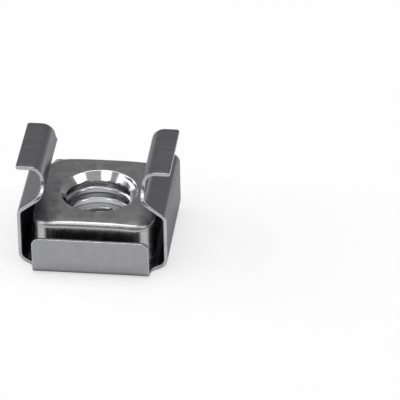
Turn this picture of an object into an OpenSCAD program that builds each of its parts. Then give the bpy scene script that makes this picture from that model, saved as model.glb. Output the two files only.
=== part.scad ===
// M6 rack cage nut: a square nut held loose in a folded spring-sheet cage.
// Millimetres, +Z up. The origin is on the thread axis, on the underside of the base.
// X runs across the two sprung ears, Y runs across the two low walls.

/* [Square nut] */
// Width of the square nut across its flats
nut_w = 10.0; // [9.6:0.1:10.4]
// Thickness of the square nut
nut_t = 3.9; // [3.4:0.1:4.6]
// Rounding of the four upright corners of the nut
nut_corner_r = 1.8; // [1.2:0.1:2.2]
// Slope of the cone that breaks the top corners of the nut, in degrees
crown_angle = 9; // [5:1:15]
// How far in from the flats the cone starts
crown_in = 0.15; // [0.1:0.05:0.3]
// Nominal diameter of the thread
thread_d = 6.0; // [5.6:0.2:6.4]
// Pitch of the thread
thread_pitch = 1.0; // [0.8:0.1:1.2]
// Mouth of the countersinks over the nominal thread diameter
sink_ratio = 1.05; // [1.02:0.01:1.08]

/* [Cage sheet] */
// Thickness of the spring sheet
sheet_t = 0.3; // [0.25:0.05:0.4]
// Room between the nut and each ear
side_gap = 0.7; // [0.5:0.1:0.9]
// Room between the nut and each low wall
end_gap = 0.8; // [0.6:0.1:1.0]
// How much wider the base hole is than the thread
hole_clear = 0.8; // [0.5:0.1:1.0]
// Radius of the relief notch at each corner of the base
notch_r = 1.0; // [0.8:0.1:1.2]

/* [Low walls] */
// Height of the two low walls above the underside
low_h = 3.2; // [2.4:0.1:3.6]
// Inside radius of the fold under each low wall
low_bend_r = 0.2; // [0.15:0.05:0.3]
// Rounding of the upper corners of the low walls
low_corner_r = 0.6; // [0.2:0.1:1.0]

/* [Ears] */
// Inside radius of the fold under each ear
ear_bend_r = 0.6; // [0.4:0.1:0.8]
// Height of the shoulder corner above the top of the nut
shoulder_rise = 0.6; // [0.4:0.1:1.0]
// Turn of the shoulder towards the middle, in degrees
shoulder_angle = 52; // [46:1:56]
// Inside radius of the shoulder fold
shoulder_r = 0.45; // [0.3:0.05:0.6]
// Side of the square rack hole that the necks sit in
panel_hole = 9.5; // [9.3:0.1:9.7]
// Play between each relaxed neck and the rack hole
neck_play = 0.6; // [0.4:0.1:0.8]
// Radius on the outer face of the neck and under the lip
neck_r = 0.8; // [0.6:0.1:1.0]
// Outward lean of the neck, in degrees
neck_flare = 9; // [4:1:14]
// Length of the straight part of the neck
neck_len = 0.5; // [0.3:0.1:0.9]
// Length of the flat part of each lip
lip_len = 1.15; // [0.8:0.05:1.5]
// Width of the neck and the lip
lip_w = 6.8; // [6.4:0.1:7.4]
// Rounding of the two outer corners of each lip
lip_corner_r = 0.25; // [0.15:0.05:0.4]
// Height from the shoulder corner to where the ear starts to narrow
taper_rise = 0.8; // [0.6:0.1:1.0]
// Turn of each of the two curves that narrow the ear, in degrees
taper_turn = 70; // [60:2:80]

/* [Hidden] */
$fn = 96;
steel_colour = [0.72, 0.73, 0.75];
nut_colour = [0.62, 0.63, 0.65];
over = 1;
bite = 0.001;

half_w = nut_w / 2 + side_gap + sheet_t;
half_d = nut_w / 2 + end_gap + sheet_t;
bore_d = thread_d - thread_pitch;
sink_d = thread_d * sink_ratio;
sink_h = (sink_d - bore_d) / 2;
hole_d = thread_d + hole_clear;

fold_y = half_d - low_bend_r - sheet_t;
fold_x = half_w - ear_bend_r - sheet_t;
notch_x = half_w - sheet_t;
ear_w = 2 * (fold_y - notch_r);
low_w = 2 * (notch_x - notch_r);
wall_foot = ear_bend_r + sheet_t;

shoulder_z = sheet_t + nut_t + shoulder_rise;
shoulder_x = half_w - sheet_t - shoulder_r;
bend_z = shoulder_z - (shoulder_r + sheet_t) * tan(shoulder_angle / 2);
neck_x = panel_hole / 2 - neck_play + neck_r;
turn_sum = shoulder_r + sheet_t + neck_r;
slope_across = turn_sum * cos(shoulder_angle) - (neck_x - shoulder_x);
slope_len = slope_across / sin(shoulder_angle);
neck_z = bend_z + turn_sum * sin(shoulder_angle) + slope_len * cos(shoulder_angle);
lip_x = neck_x + neck_len * sin(neck_flare);
lip_z = neck_z + neck_len * cos(neck_flare);
cage_h = lip_z + neck_r + sheet_t;
lip_reach = lip_x + lip_len;

taper_z = shoulder_z + taper_rise;
taper_in = (ear_w - lip_w) / 2;
taper_r = taper_in / (2 * (1 - cos(taper_turn)));
taper_len = 2 * taper_r * sin(taper_turn) - bite;

// A fold of the sheet in section: it starts above or below its centre and turns by an angle.
module fold(r, turn) {
    reach = r + sheet_t;
    intersection() {
        difference() {
            circle(r = reach);
            circle(r = r);
        }
        translate([0, -reach])
            square([reach, 2 * reach]);
        rotate(turn)
            translate([-reach, -reach])
                square([reach, 2 * reach]);
    }
}

// The sheet in section, run by run: each step is a straight length, the turn after it and its radius.
module strip(steps, i = 0) {
    if (i < len(steps)) {
        length = steps[i][0];
        turn = steps[i][1];
        r = steps[i][2];
        pivot = turn > 0 ? r + sheet_t : -r;
        square([length, sheet_t]);
        if (turn != 0)
            translate([length, pivot]) {
                fold(r, turn);
                rotate(turn)
                    translate([0, -pivot])
                        strip(steps, i + 1);
            }
    }
}

// What lies outside a rounded corner: the corner's tip and its radius.
module corner_cut(tip, r) {
    translate(tip)
        translate([-r, -r])
            difference() {
                square(r + over);
                circle(r = r);
            }
}

// The base and the folds under the ears in section, across X and Z.
module base_section() {
    for (side = [0, 1])
        mirror([side, 0])
            strip([[fold_x, 90, ear_bend_r]]);
}

// One ear above its fold in section, across X and Z.
module ear_section() {
    translate([half_w, wall_foot])
        rotate(90)
            strip([
                [bend_z - wall_foot, shoulder_angle, shoulder_r],
                [slope_len, -shoulder_angle - neck_flare, neck_r],
                [neck_len, neck_flare - 90, neck_r],
                [lip_len + over, 0, 0]
            ]);
}

// What is cut from one side of an ear, seen along X: two curves lead from the wall in to the neck.
module beside_neck() {
    translate([lip_w / 2, taper_z + taper_len]) {
        square([ear_w, cage_h]);
        translate([taper_r, 0])
            circle(r = taper_r);
    }
    translate([ear_w / 2, taper_z])
        translate([-taper_r, 0])
            difference() {
                intersection() {
                    square(2 * taper_r);
                    rotate(taper_turn - 90)
                        square(2 * taper_r);
                }
                circle(r = taper_r);
            }
}

// What is cut away past the tip of a lip and its two rounded corners, seen from above.
module past_lip() {
    translate([lip_reach, -lip_w])
        square([2 * over, 2 * lip_w]);
    for (side = [0, 1])
        mirror([0, side])
            corner_cut([lip_reach, lip_w / 2], lip_corner_r);
}

// One ear from the top of its lower fold to the tip of its lip.
module ear() {
    difference() {
        translate([0, ear_w / 2, 0])
            rotate([90, 0, 0])
                linear_extrude(height = ear_w)
                    ear_section();
        rotate([90, 0, 90])
            linear_extrude(height = lip_reach + 2 * over)
                for (side = [0, 1])
                    mirror([side, 0])
                        beside_neck();
        translate([0, 0, cage_h - 2 * sheet_t])
            linear_extrude(height = 2 * sheet_t + over)
                past_lip();
    }
}

// The base from above: as wide as the ears and the low walls, with a notch at each corner.
module base_outline() {
    difference() {
        union() {
            square([2 * half_w + over, ear_w], center = true);
            difference() {
                square([2 * notch_x, 2 * fold_y], center = true);
                for (a = [0, 1], b = [0, 1])
                    mirror([a, 0])
                        mirror([0, b])
                            translate([notch_x, fold_y])
                                circle(r = notch_r);
            }
        }
        circle(d = hole_d);
    }
}

// The base with the folds under both ears and the hole that lets a screw through.
module base() {
    intersection() {
        translate([0, fold_y, 0])
            rotate([90, 0, 0])
                linear_extrude(height = 2 * fold_y)
                    base_section();
        linear_extrude(height = wall_foot)
            base_outline();
    }
}

// One low wall with its fold.
module low_wall() {
    foot = low_bend_r + sheet_t;
    translate([-low_w / 2, 0, 0])
        rotate([90, 0, 90])
            linear_extrude(height = low_w)
                translate([fold_y, foot])
                    fold(low_bend_r, 90);
    translate([0, half_d, 0])
        rotate([90, 0, 0])
            linear_extrude(height = sheet_t)
                difference() {
                    translate([-low_w / 2, foot])
                        square([low_w, low_h - foot]);
                    for (side = [0, 1])
                        mirror([side, 0])
                            corner_cut([low_w / 2, low_h], low_corner_r);
                }
}

// The cage: one folded sheet with a base, two low walls and two sprung ears.
module cage() {
    color(steel_colour) {
        base();
        for (side = [0, 1])
            mirror([side, 0, 0])
                ear();
        for (side = [0, 1])
            mirror([0, side, 0])
                low_wall();
    }
}

// The square nut from above, without its bore.
module nut_outline() {
    difference() {
        square(nut_w, center = true);
        for (a = [0, 1], b = [0, 1])
            mirror([a, 0])
                mirror([0, b])
                    corner_cut([nut_w / 2, nut_w / 2], nut_corner_r);
    }
}

// The square nut: coned top, bored to the core of the thread with a countersink at each end.
module square_nut() {
    crown_r = nut_w / 2 - crown_in;
    crown_drop = (nut_w - crown_r) * tan(crown_angle);
    color(nut_colour)
        translate([0, 0, sheet_t])
            difference() {
                intersection() {
                    linear_extrude(height = nut_t)
                        nut_outline();
                    rotate_extrude()
                        polygon([
                            [0, -over],
                            [nut_w, -over],
                            [nut_w, nut_t - crown_drop],
                            [crown_r, nut_t],
                            [0, nut_t]
                        ]);
                }
                translate([0, 0, -over])
                    cylinder(h = nut_t + 2 * over, d = bore_d);
                translate([0, 0, nut_t - sink_h])
                    cylinder(h = sink_h, d1 = bore_d, d2 = sink_d);
                cylinder(h = sink_h, d1 = sink_d, d2 = bore_d);
            }
}

cage();
square_nut();
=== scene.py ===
import math

import bmesh
import bpy
from mathutils import Matrix, Vector


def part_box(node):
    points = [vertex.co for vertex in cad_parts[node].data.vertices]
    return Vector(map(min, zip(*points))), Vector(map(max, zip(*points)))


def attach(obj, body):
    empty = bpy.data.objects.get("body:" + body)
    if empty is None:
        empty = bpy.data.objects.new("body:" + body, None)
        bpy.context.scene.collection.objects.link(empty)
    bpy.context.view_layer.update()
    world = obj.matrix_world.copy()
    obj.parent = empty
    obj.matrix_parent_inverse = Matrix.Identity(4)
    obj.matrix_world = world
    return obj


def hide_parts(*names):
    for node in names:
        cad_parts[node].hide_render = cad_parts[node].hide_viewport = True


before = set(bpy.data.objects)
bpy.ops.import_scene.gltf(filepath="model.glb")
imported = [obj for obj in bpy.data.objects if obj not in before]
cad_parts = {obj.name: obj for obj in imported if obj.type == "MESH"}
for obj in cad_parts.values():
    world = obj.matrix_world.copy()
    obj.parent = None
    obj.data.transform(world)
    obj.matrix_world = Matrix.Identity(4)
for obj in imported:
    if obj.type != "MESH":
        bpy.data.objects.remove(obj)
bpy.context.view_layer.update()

# Every length below is in millimetres. Meshes are scaled to metres as they are made.
MM = 0.001

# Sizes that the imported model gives
nut_lo, nut_hi = (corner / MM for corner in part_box("square_nut"))
cage_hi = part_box("cage")[1] / MM
NUT_HALF = nut_hi.x
NUT_T = nut_hi.z - nut_lo.z
HALF_D = cage_hi.y
LIP_REACH = cage_hi.x

# The nut. Its crown falls away from a flat middle, and blends into a cone.
CORNER_R = 1.8
CROWN_SLOPE = math.tan(math.radians(9))
CROWN_R = 4.4
CROWN_BLEND = 1.2
EDGE_R = 0.42
CORNER_EDGE_R = 0.5
FOOT_EDGE_R = 0.12

# The bore: a right-hand thread with a countersink at each end. THREAD_START is a share of one pitch.
BORE_R = 2.5
THREAD_R = 3.0
PITCH = 1.0
CREST = 0.27
FLANK_ANGLE = math.radians(30)
THREAD_START = 0.015
SINK_R = 3.15
SINK_ANGLE = math.radians(45)
MOUTH_R = 0.05

# The sheet of the cage and its base
SHEET = nut_lo.z
SIDE_GAP = 0.7
HALF_W = NUT_HALF + SIDE_GAP + SHEET
HOLE_R = 3.4
NOTCH_R = 1.0
SHEET_EDGE_R = 0.07

# The low walls
LOW_BEND_R = 0.2
LOW_H = 3.2
LOW_CORNER_R = 0.6

# The ears. Turns are in degrees.
EAR_BEND_R = 0.6
SHOULDER_RISE = 0.6
SHOULDER_TURN = 52
SHOULDER_R = 0.45
PANEL_HOLE = 9.5
NECK_PLAY = 0.6
NECK_R = 0.8
NECK_FLARE = 9
NECK_LEN = 0.5
LIP_W = 6.8
LIP_CORNER_R = 0.25
TAPER_RISE = 0.8
TAPER_TURN = math.radians(70)

# Places that follow from those sizes
SHOULDER_Z = nut_hi.z + SHOULDER_RISE
NECK_X = PANEL_HOLE / 2 - NECK_PLAY + NECK_R
FOLD_X = HALF_W - EAR_BEND_R - SHEET
FOLD_Y = HALF_D - LOW_BEND_R - SHEET
NOTCH_X = HALF_W - SHEET
EAR_HALF = FOLD_Y - NOTCH_R
LOW_HALF = NOTCH_X - NOTCH_R
TAPER_Z = SHOULDER_Z + TAPER_RISE
TAPER_R = (EAR_HALF - LIP_W / 2) / (2 * (1 - math.cos(TAPER_TURN)))
TAPER_LEN = 2 * TAPER_R * math.sin(TAPER_TURN)

# How finely the meshes are divided
ROWS = 16
CORNER_STEPS = 8
NOTCH_STEPS = 14
BASE_RINGS = 5
AROUND = 480
PITCH_ROWS = 20


def new_piece(name, bm, node):
    """A mesh object from a bmesh in millimetres. It rides on the root body and stands for a CAD node."""
    bmesh.ops.scale(bm, vec=(MM, MM, MM), verts=bm.verts)
    bmesh.ops.recalc_face_normals(bm, faces=bm.faces)
    mesh = bpy.data.meshes.new(name)
    bm.to_mesh(mesh)
    bm.free()
    mesh.shade_smooth()
    piece = bpy.data.objects.new(name, mesh)
    bpy.context.scene.collection.objects.link(piece)
    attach(piece, "root")
    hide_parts(node)
    return piece


# ---------------------------------------------------------------- the cage

def trace(start, heading, steps, spacing=0.06, arc_step=4.0):
    """Points on the outer and the inner face of a folded strip.
    Each step is a run, the turn after it in degrees and the turn's inside radius."""
    x, z = start
    angle = math.radians(heading)
    points = []

    def add():
        nx, nz = -math.sin(angle), math.cos(angle)
        points.append(((x, z), (x + SHEET * nx, z + SHEET * nz)))

    add()
    for run, turn, r in steps:
        count = math.ceil(run / spacing)
        for _ in range(count):
            x += run / count * math.cos(angle)
            z += run / count * math.sin(angle)
            add()
        if turn:
            side = math.copysign(1, turn)
            reach = r + SHEET if turn > 0 else r
            cx = x - side * reach * math.sin(angle)
            cz = z + side * reach * math.cos(angle)
            count = math.ceil(abs(turn) / arc_step)
            for _ in range(count):
                angle += math.radians(turn / count)
                x = cx + side * reach * math.sin(angle)
                z = cz - side * reach * math.cos(angle)
                add()
    return points


def ear_half_width(x, z):
    """Half the width of an ear at a point of its section."""
    if z < EAR_BEND_R + SHEET and x < NOTCH_X:
        return FOLD_Y - math.sqrt(NOTCH_R ** 2 - (NOTCH_X - x) ** 2)
    rise = z - TAPER_Z
    if rise <= 0:
        return EAR_HALF
    if rise < TAPER_LEN / 2:
        return EAR_HALF - TAPER_R + math.sqrt(TAPER_R ** 2 - rise ** 2)
    if rise < TAPER_LEN:
        return LIP_W / 2 + TAPER_R - math.sqrt(TAPER_R ** 2 - (TAPER_LEN - rise) ** 2)
    return LIP_W / 2


class Sheet:
    """Builds a folded sheet from strips: both faces, and the cut edges between them.
    Each corner is a place and its two coordinates on the flat blank, along and across the rolled grain."""

    def __init__(self):
        self.bm = bmesh.new()
        self.blank = self.bm.loops.layers.uv.new("blank")

    def face(self, corners, cut=False):
        """One face. A cut one has the second material."""
        made = self.bm.faces.new([self.bm.verts.new(place) for place, _ in corners])
        made.material_index = int(cut)
        for loop, (_, flat) in zip(made.loops, corners):
            loop[self.blank].uv = flat

    def strip(self, section, half_width, put, corner_r):
        """A wall along a section, rounded at the two corners of its free end.
        put gives a corner from a point of the section, the place across and the length along."""
        runs = [0.0]
        for (a, _), (b, _) in zip(section, section[1:]):
            runs.append(runs[-1] + math.dist(a, b))
        columns = []
        for faces, run in zip(section, runs):
            columns.append([
                [put(p, half_width(*p) * (2 * i / ROWS - 1), run) for i in range(ROWS + 1)]
                for p in faces
            ])
        for (a_out, a_in), (b_out, b_in) in zip(columns, columns[1:]):
            for a, b in ((a_out, b_out), (a_in, b_in)):
                for i in range(ROWS):
                    self.face([a[i], a[i + 1], b[i + 1], b[i]])
            for i in (0, ROWS):
                self.face([a_out[i], a_in[i], b_in[i], b_out[i]], cut=True)
        self.tip(section, half_width, put, corner_r, columns[-1], runs[-1])

    def tip(self, section, half_width, put, corner_r, last, run):
        """The free end past the last column of a strip."""
        end, before = section[-1][0], section[-2][0]
        length = math.dist(end, before)
        ahead = [(e - b) / length for e, b in zip(end, before)]
        half = half_width(*end)
        turns = [math.pi / 2 * k / CORNER_STEPS for k in range(1, CORNER_STEPS + 1)]
        corner = [(corner_r * math.sin(t), corner_r - half - corner_r * math.cos(t)) for t in turns]
        outline = corner + [(u, -v) for u, v in corner[::-1]]
        edges = []
        for (x, z), row in zip(section[-1], last):
            rim = [put((x + ahead[0] * u, z + ahead[1] * u), v, run + u) for u, v in outline[:-1]]
            self.face(row + rim[::-1])
            edges.append([row[0], *rim, row[-1]])
        for a, b, c, d in zip(edges[0], edges[0][1:], edges[1][1:], edges[1]):
            self.face([a, b, c, d], cut=True)

    def weld(self, gap=1e-5):
        bmesh.ops.remove_doubles(self.bm, verts=self.bm.verts, dist=gap)
        return self.bm


def ear_section():
    """The section of the right ear from the base to the start of its rounded tip."""
    shoulder_x = HALF_W - SHEET - SHOULDER_R
    foot = EAR_BEND_R + SHEET
    turn = math.radians(SHOULDER_TURN)
    bend_z = SHOULDER_Z - (SHOULDER_R + SHEET) * math.tan(turn / 2)
    turn_sum = SHOULDER_R + SHEET + NECK_R
    slope = (turn_sum * math.cos(turn) - (NECK_X - shoulder_x)) / math.sin(turn)
    lip_start = NECK_X + NECK_LEN * math.sin(math.radians(NECK_FLARE))
    return trace((FOLD_X, 0), 0, [
        (0, 90, EAR_BEND_R),
        (bend_z - foot, SHOULDER_TURN, SHOULDER_R),
        (slope, -SHOULDER_TURN - NECK_FLARE, NECK_R),
        (NECK_LEN, NECK_FLARE - 90, NECK_R),
        (LIP_REACH - lip_start - LIP_CORNER_R, 0, 0),
    ])


def low_section():
    """The section of the back low wall from the base to the start of its rounded corners."""
    return trace((FOLD_Y, 0), 0, [
        (0, 90, LOW_BEND_R),
        (LOW_H - LOW_BEND_R - SHEET - LOW_CORNER_R, 0, 0),
    ])


def base_outline():
    """The base's outline between the folds, and the indices of its stretches along the four notches."""
    half_rows = ROWS // 2
    fold_half = ear_half_width(FOLD_X, 0)
    start = math.atan2(FOLD_X - NOTCH_X, FOLD_Y - fold_half)
    quarter = [(FOLD_X, fold_half * i / half_rows) for i in range(half_rows)]
    for k in range(NOTCH_STEPS):
        turn = start - (math.pi / 2 + start) * k / NOTCH_STEPS
        quarter.append((NOTCH_X + NOTCH_R * math.sin(turn), FOLD_Y - NOTCH_R * math.cos(turn)))
    quarter += [(LOW_HALF * (1 - i / half_rows), FOLD_Y) for i in range(half_rows + 1)]
    notched = [half_rows <= i < half_rows + NOTCH_STEPS for i in range(len(quarter) - 1)]

    outline = []
    cut = set()
    for sx, sy in ((1, 1), (-1, 1), (-1, -1), (1, -1)):
        points = [(sx * x, sy * y) for x, y in quarter]
        marks = notched
        if sx != sy:
            points, marks = points[::-1], marks[::-1]
        for point, mark in zip(points, marks):
            if mark:
                cut.add(len(outline))
            outline.append(point)
    return outline, cut


def spoke(x, y):
    """Points from the screw hole out to a point of the base's outline."""
    rim = HOLE_R / math.hypot(x, y)
    shares = [rim + (1 - rim) * k / BASE_RINGS for k in range(BASE_RINGS + 1)]
    return [(x * share, y * share) for share in shares]


def add_base(sheet):
    """The flat base round its screw hole, with the cut edges of the hole and of the notches."""
    def flat(point, z):
        return (*point, z), point

    outline, cut = base_outline()
    for i, point in enumerate(outline):
        a, b = spoke(*point), spoke(*outline[(i + 1) % len(outline)])
        for z in (0, SHEET):
            for k in range(BASE_RINGS):
                sheet.face([flat(a[k], z), flat(a[k + 1], z), flat(b[k + 1], z), flat(b[k], z)])
        for k in (0, BASE_RINGS) if i in cut else (0,):
            sheet.face([flat(a[k], 0), flat(b[k], 0), flat(b[k], SHEET), flat(a[k], SHEET)], cut=True)


def build_cage():
    """The folded sheet, with its cut edges rounded by a bevel."""
    sheet = Sheet()
    for side in (-1, 1):
        sheet.strip(
            ear_section(), ear_half_width,
            lambda p, y, run: ((side * p[0], y, p[1]), (side * (FOLD_X + run), y)),
            LIP_CORNER_R)
        sheet.strip(
            low_section(), lambda y, z: LOW_HALF,
            lambda p, x, run: ((x, side * p[0], p[1]), (x, side * (FOLD_Y + run))),
            LOW_CORNER_R)
    add_base(sheet)
    cage = new_piece("cage_sheet", sheet.weld(), "cage")
    bevel = cage.modifiers.new("cut_edges", "BEVEL")
    bevel.width = SHEET_EDGE_R * MM
    bevel.segments = 3
    bevel.limit_method = "ANGLE"
    bevel.angle_limit = math.radians(50)
    bevel.use_clamp_overlap = False
    bevel.material = 1
    cage.modifiers.new("flat_faces", "WEIGHTED_NORMAL").keep_sharp = False
    return cage


# ---------------------------------------------------------------- the nut

def outline_r(angle):
    """Radius of the rounded square at an angle."""
    x, y = abs(math.cos(angle)), abs(math.sin(angle))
    if x < y:
        x, y = y, x
    inner = NUT_HALF - CORNER_R
    if NUT_HALF * y / x <= inner:
        return NUT_HALF / x
    along = inner * (x + y)
    return along + math.sqrt(along ** 2 - 2 * inner ** 2 + CORNER_R ** 2)


def edge_r(angle):
    """Radius of the top edge's rounding, which grows towards the corners."""
    corner = (outline_r(angle) - NUT_HALF) / (outline_r(math.pi / 4) - NUT_HALF)
    return EDGE_R + (CORNER_EDGE_R - EDGE_R) * corner


def thread_r(phase):
    """Radius of the thread at a phase of one pitch: crest, flank, root and flank."""
    depth = THREAD_R - BORE_R
    flank = depth * math.tan(FLANK_ANGLE)
    root = PITCH - CREST - 2 * flank
    phase %= PITCH
    if phase < CREST:
        return BORE_R
    if phase < CREST + flank:
        return BORE_R + depth * (phase - CREST) / flank
    if phase < CREST + flank + root:
        return THREAD_R
    return THREAD_R - depth * (phase - CREST - flank - root) / flank


def sink_r(z):
    """Radius of the two countersinks' cones at a height."""
    return SINK_R - min(z, NUT_T - z)


def nut_ring(bm, profile):
    """One vertex for each angle, at the radius and height that a profile gives."""
    made = []
    for i in range(AROUND):
        angle = 2 * math.pi * i / AROUND
        r, z = profile(angle)
        made.append(bm.verts.new((r * math.cos(angle), r * math.sin(angle), nut_lo.z + z)))
    return made


def add_thread(bm):
    """The threaded wall: its rows climb with the helix, and stop at the two mouths."""
    low_z, high_z = MOUTH_R, NUT_T - MOUTH_R
    turns = math.ceil(NUT_T / PITCH) + 1
    rings = []
    for k in range(PITCH_ROWS * turns + 1):
        climb = k / PITCH_ROWS - 1

        def wall(angle):
            z = min(max((climb + angle / (2 * math.pi) + THREAD_START) * PITCH, low_z), high_z)
            if z in (low_z, high_z):
                return sink_r(z), z
            return max(thread_r(climb * PITCH), sink_r(z)), z
        rings.append(nut_ring(bm, wall))
    for i in range(AROUND):
        j = (i + 1) % AROUND
        shift = 0 if j else PITCH_ROWS
        for k in range(PITCH_ROWS * turns - shift):
            bm.faces.new([rings[k][i], rings[k + shift][j], rings[k + 1 + shift][j], rings[k + 1][i]])


def nut_profiles():
    """Profiles from the upper countersink over the crown, down the sides and in under the nut.
    Each gives the radius and the height at an angle."""
    mouth_arc = MOUTH_R / (math.sqrt(2) * math.tan(SINK_ANGLE / 2))
    mouth_start = SINK_R - MOUTH_R
    top_start = mouth_start + mouth_arc * math.sin(SINK_ANGLE)
    top_z = NUT_T - MOUTH_R + mouth_arc * (1 - math.cos(SINK_ANGLE))

    def crown_z(r):
        past = max(0, r - CROWN_R)
        if past < CROWN_BLEND:
            return top_z - CROWN_SLOPE * past ** 2 / (2 * CROWN_BLEND)
        return top_z - CROWN_SLOPE * (past - CROWN_BLEND / 2)

    def mouth(share, angle):
        left = SINK_ANGLE * (1 - share)
        r = mouth_start + mouth_arc * (math.sin(SINK_ANGLE) - math.sin(left))
        return r, NUT_T - MOUTH_R + mouth_arc * (math.cos(left) - math.cos(SINK_ANGLE))

    def crown(share, angle):
        r = top_start + (outline_r(angle) - edge_r(angle) - top_start) * share
        return r, crown_z(r)

    def top_edge(share, angle):
        turn = math.pi / 2 * share
        e = edge_r(angle)
        centre = outline_r(angle) - e
        return centre + e * math.sin(turn), crown_z(centre) - e + e * math.cos(turn)

    def side(z, angle):
        return outline_r(angle), z

    def foot_edge(share, angle):
        turn = math.pi / 2 * share
        return outline_r(angle) - FOOT_EDGE_R * (1 - math.cos(turn)), FOOT_EDGE_R * (1 - math.sin(turn))

    def underside(share, angle):
        start = outline_r(angle) - FOOT_EDGE_R
        return start + (SINK_R - start) * share, 0

    def lower_mouth(z, angle):
        return sink_r(z), z

    stretches = (
        (mouth, [k / 4 for k in range(5)]),
        (crown, (0.02, 0.15, 0.3, 0.45, 0.58, 0.7, 0.8, 0.88, 0.95, 0.985)),
        (top_edge, [k / 8 for k in range(9)]),
        (side, (3.3, 3.0, 2.0, 1.0, 0.5, FOOT_EDGE_R + 0.02)),
        (foot_edge, [k / 6 for k in range(7)]),
        (underside, (0.02, 0.5, 0.98)),
        (lower_mouth, (0, MOUTH_R)),
    )
    return [
        lambda angle, form=form, at=at: form(at, angle)
        for form, places in stretches for at in places
    ]


def build_nut(gap=2e-4, sharp=math.radians(28)):
    """The square nut with its thread. Edges that turn by more than sharp stay crisp."""
    bm = bmesh.new()
    add_thread(bm)
    rings = [nut_ring(bm, profile) for profile in nut_profiles()]
    for a, b in zip(rings, rings[1:]):
        for i in range(AROUND):
            j = (i + 1) % AROUND
            bm.faces.new([a[i], a[j], b[j], b[i]])
    bmesh.ops.remove_doubles(bm, verts=bm.verts, dist=gap)
    nut = new_piece("threaded_nut", bm, "square_nut")
    nut.data.set_sharp_from_angle(angle=sharp)
    return nut


# ---------------------------------------------------------------- materials

def node(tree, kind, **settings):
    made = tree.nodes.new(kind)
    for key, value in settings.items():
        setattr(made, key, value)
    return made


def noise(tree, place, scale, size, detail):
    """Noise with a size of its own on each axis of a set of coordinates."""
    stretch = node(tree, "ShaderNodeMapping")
    stretch.inputs["Scale"].default_value = scale
    tree.links.new(place, stretch.inputs["Vector"])
    made = node(tree, "ShaderNodeTexNoise")
    made.inputs["Scale"].default_value = size
    made.inputs["Detail"].default_value = detail
    tree.links.new(stretch.outputs["Vector"], made.inputs["Vector"])
    return made.outputs["Fac"]


def spread(tree, value, low, high, start=0.3, end=0.7):
    """A noise value brought from the range where it mostly lies to another one."""
    made = node(tree, "ShaderNodeMapRange")
    made.inputs["From Min"].default_value = start
    made.inputs["From Max"].default_value = end
    made.inputs["To Min"].default_value = low
    made.inputs["To Max"].default_value = high
    tree.links.new(value, made.inputs["Value"])
    return made.outputs["Result"]


def bump(tree, height, strength, under=None):
    """Relief about a hundredth of a millimetre deep, over other relief if there is any under it."""
    made = node(tree, "ShaderNodeBump")
    made.inputs["Strength"].default_value = strength
    made.inputs["Distance"].default_value = 0.01 * MM
    tree.links.new(height, made.inputs["Height"])
    if under:
        tree.links.new(under, made.inputs["Normal"])
    return made.outputs["Normal"]


def steel(name, tone, rough, tint, lines, speck, line_bump, speck_bump, layer=None):
    """Zinc-plated steel: rolled lines with a fine speck of plating over them.
    tone and rough each hold a low and a high end, and tint is how much the steel shines at a grazing angle.
    The lines follow a layer of blank coordinates in millimetres, or else the object's own axes in metres."""
    material = bpy.data.materials.new(name)
    material.use_nodes = True
    tree = material.node_tree
    shader = tree.nodes["Principled BSDF"]
    shader.inputs["Metallic"].default_value = 1.0
    shader.inputs["Specular Tint"].default_value = (tint, tint, tint, 1)
    own = node(tree, "ShaderNodeTexCoord").outputs["Object"]
    place = node(tree, "ShaderNodeUVMap", uv_map=layer).outputs["UV"] if layer else own
    rolled = noise(tree, place, lines, 1.0, 3.0)
    specks = noise(tree, own, (1, 1, 1), speck, 3.0)
    cloud = noise(tree, own, (1, 1, 1), speck / 7, 2.0)
    both = node(tree, "ShaderNodeMath", operation="ADD")
    tree.links.new(rolled, both.inputs[0])
    tree.links.new(cloud, both.inputs[1])
    colour = node(tree, "ShaderNodeMix", data_type="RGBA")
    colour.inputs["A"].default_value = (*tone[0], 1)
    colour.inputs["B"].default_value = (*tone[1], 1)
    tree.links.new(spread(tree, both.outputs[0], 0, 1, 0.7, 1.3), colour.inputs["Factor"])
    tree.links.new(colour.outputs["Result"], shader.inputs["Base Color"])
    tree.links.new(spread(tree, rolled, *rough), shader.inputs["Roughness"])
    relief = bump(tree, rolled, line_bump)
    tree.links.new(bump(tree, specks, speck_bump, relief), shader.inputs["Normal"])
    return material


def dress_cage(cage):
    """The rolled faces of the sheet first, then its brighter cut edges."""
    cage.data.materials.append(steel(
        "spring_sheet_zinc", tone=((0.305, 0.305, 0.318), (0.35, 0.35, 0.363)), rough=(0.25, 0.33),
        tint=0.45, lines=(0.35, 11, 1), speck=9000, line_bump=0.12, speck_bump=0.06, layer="blank"))
    cage.data.materials.append(steel(
        "cut_edge_zinc", tone=((0.4, 0.4, 0.42), (0.5, 0.5, 0.52)), rough=(0.2, 0.3),
        tint=0.8, lines=(4, 4, 1), speck=9000, line_bump=0.2, speck_bump=0.1, layer="blank"))


def dress_nut(nut):
    """Satin outside, and glossy where it is turned and tapped: the countersinks and the thread."""
    nut.data.materials.append(steel(
        "nut_rolled_zinc", tone=((0.42, 0.42, 0.425), (0.52, 0.52, 0.525)), rough=(0.25, 0.33),
        tint=0.7, lines=(1500, 1500, 1500), speck=5000, line_bump=0.05, speck_bump=0.06))
    nut.data.materials.append(steel(
        "nut_cut_zinc", tone=((0.56, 0.56, 0.57), (0.64, 0.64, 0.65)), rough=(0.1, 0.16),
        tint=0.8, lines=(400, 400, 9000), speck=7000, line_bump=0.1, speck_bump=0.05))
    cut_r = (SINK_R + 0.02) * MM
    for face in nut.data.polygons:
        face.material_index = int(math.hypot(face.center.x, face.center.y) < cut_r)


# ---------------------------------------------------------------- stage, light and camera

PAPER = 0.98
FLOOR_GLOW = 0.6
FLOOR_HALF = 3000
FLOOR_DROP = 0.02
# How far the ambient occlusion reaches that paints shade into the floor's glow near the parts
PAINTED_SHADE_REACH = 2


def maximum(tree, a, b):
    made = node(tree, "ShaderNodeMath", operation="MAXIMUM")
    tree.links.new(a, made.inputs[0])
    tree.links.new(b, made.inputs[1])
    return made.outputs[0]


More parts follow.
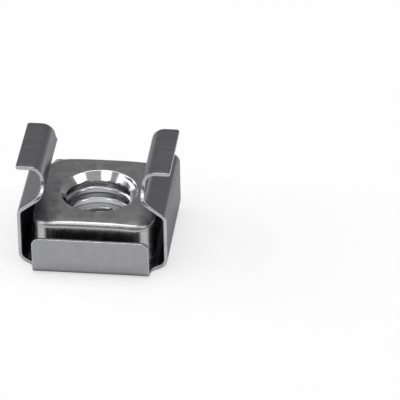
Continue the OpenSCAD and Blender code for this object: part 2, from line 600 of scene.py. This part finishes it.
def floor_material():
    """White paper: the camera and the steel see it almost white, and it keeps the shadow.
    The steel sees its glow dimmed by ambient occlusion, a painted shade that darkens it in the narrow gaps,
    and it is clear from below."""
    material = bpy.data.materials.new("white_paper")
    material.use_nodes = True
    tree = material.node_tree
    tree.nodes.clear()
    out = node(tree, "ShaderNodeOutputMaterial")
    paper = node(tree, "ShaderNodeBsdfDiffuse")
    paper.inputs["Color"].default_value = (PAPER, PAPER, PAPER, 1)
    path = node(tree, "ShaderNodeLightPath").outputs
    shine = maximum(tree, path["Is Glossy Ray"], path["Is Transmission Ray"])
    share = node(tree, "ShaderNodeMath", operation="MULTIPLY")
    share.inputs[1].default_value = FLOOR_GLOW
    tree.links.new(maximum(tree, shine, path["Is Camera Ray"]), share.inputs[0])
    # Ambient occlusion dims the glow that the steel sees: painted shade in the narrow gaps and under the
    # parts. The camera sees the glow undimmed.
    painted_gap_shade = node(tree, "ShaderNodeAmbientOcclusion", samples=8)
    painted_gap_shade.inputs["Distance"].default_value = PAINTED_SHADE_REACH * MM
    glow = node(tree, "ShaderNodeEmission")
    tree.links.new(maximum(tree, painted_gap_shade.outputs["AO"], path["Is Camera Ray"]), glow.inputs["Strength"])
    lit = node(tree, "ShaderNodeMixShader")
    tree.links.new(share.outputs[0], lit.inputs[0])
    tree.links.new(paper.outputs[0], lit.inputs[1])
    tree.links.new(glow.outputs[0], lit.inputs[2])
    side = node(tree, "ShaderNodeNewGeometry")
    clear = node(tree, "ShaderNodeBsdfTransparent")
    shown = node(tree, "ShaderNodeMixShader")
    tree.links.new(side.outputs["Backfacing"], shown.inputs[0])
    tree.links.new(lit.outputs[0], shown.inputs[1])
    tree.links.new(clear.outputs[0], shown.inputs[2])
    tree.links.new(shown.outputs[0], out.inputs["Surface"])
    return material


def build_stage():
    """A plain floor just under the base."""
    bm = bmesh.new()
    half, z = FLOOR_HALF * MM, -FLOOR_DROP * MM
    bm.faces.new([bm.verts.new((x * half, y * half, z)) for x, y in ((-1, -1), (1, -1), (1, 1), (-1, 1))])
    mesh = bpy.data.meshes.new("floor")
    bm.to_mesh(mesh)
    bm.free()
    floor = bpy.data.objects.new("floor", mesh)
    bpy.context.scene.collection.objects.link(floor)
    mesh.materials.append(floor_material())


def towards(azimuth, elevation):
    """A direction away from the object. Azimuth 0 is the front, and a quarter turn is the right."""
    level = math.cos(elevation)
    return Vector((math.sin(azimuth) * level, -math.cos(azimuth) * level, math.sin(elevation)))


def softbox(name, azimuth, elevation, distance, size, power):
    """A rectangular area light that looks at the object, in degrees, metres and watts."""
    light = bpy.data.lights.new(name, "AREA")
    light.shape = "RECTANGLE"
    light.size, light.size_y = size
    light.energy = power
    lamp = bpy.data.objects.new(name, light)
    away = towards(math.radians(azimuth), math.radians(elevation))
    lamp.location = away * distance
    lamp.rotation_mode = "QUATERNION"
    lamp.rotation_quaternion = away.to_track_quat("Z", "Y")
    bpy.context.scene.collection.objects.link(lamp)


def build_lights():
    """The main light is above and behind. Three small ones show in the countersink and on the edges."""
    softbox("key_box", 180, 78, 0.8, (0.7, 0.5), 2.0)
    softbox("front_box", -23, 56, 0.5, (0.18, 0.1), 0.14)
    softbox("right_box", 79, 45, 0.5, (0.24, 0.15), 0.27)
    softbox("left_box", -95, 33, 0.5, (0.6, 0.32), 0.85)


def build_world():
    """The room round the table: lighter at the horizon, dim walls, and a bright ceiling."""
    world = bpy.data.worlds.new("room")
    bpy.context.scene.world = world
    world.use_nodes = True
    tree = world.node_tree
    tree.nodes.clear()
    out = node(tree, "ShaderNodeOutputWorld")
    sky = node(tree, "ShaderNodeBackground")
    place = node(tree, "ShaderNodeTexCoord")
    split = node(tree, "ShaderNodeSeparateXYZ")
    tree.links.new(place.outputs["Generated"], split.inputs[0])
    ramp = node(tree, "ShaderNodeValToRGB")
    stops = ((0.0, 0.7), (0.08, 0.4), (0.3, 0.27), (0.6, 0.24), (0.85, 0.5), (1.0, 1.2))
    ramp.color_ramp.interpolation = "EASE"
    while len(ramp.color_ramp.elements) < len(stops):
        ramp.color_ramp.elements.new(0.5)
    for element, (at, level) in zip(ramp.color_ramp.elements, stops):
        element.position = at
        element.color = (level, level, level, 1)
    tree.links.new(split.outputs["Z"], ramp.inputs["Fac"])
    tree.links.new(ramp.outputs["Color"], sky.inputs["Color"])
    tree.links.new(sky.outputs[0], out.inputs["Surface"])


# The photograph's viewing angle, and how far the camera stands back, to the right and up
AZIMUTH, ELEVATION, ROLL = (math.radians(a) for a in (6.99, 32.466, -0.982))
BACK, RIGHT, UP = 340.43, 8.03, 2.781
LENS = 378.8


def build_camera():
    """A long lens at the photograph's viewing angle, with the object on the left as it is there."""
    back = towards(AZIMUTH, ELEVATION)
    level = Vector((math.cos(AZIMUTH), math.sin(AZIMUTH), 0))
    up = back.cross(level)
    right = level * math.cos(ROLL) + up * math.sin(ROLL)
    top = up * math.cos(ROLL) - level * math.sin(ROLL)
    data = bpy.data.cameras.new("camera")
    data.sensor_width = 36
    data.lens = LENS
    data.clip_start = 0.01
    camera = bpy.data.objects.new("camera", data)
    where = (back * BACK + right * RIGHT + top * UP) * MM
    turned = Matrix((right, top, back)).transposed().to_4x4()
    camera.matrix_world = Matrix.Translation(where) @ turned
    bpy.context.scene.collection.objects.link(camera)
    bpy.context.scene.camera = camera


dress_cage(build_cage())
dress_nut(build_nut())
build_stage()
build_world()
build_lights()
build_camera()
bpy.context.scene.view_settings.view_transform = "Standard"
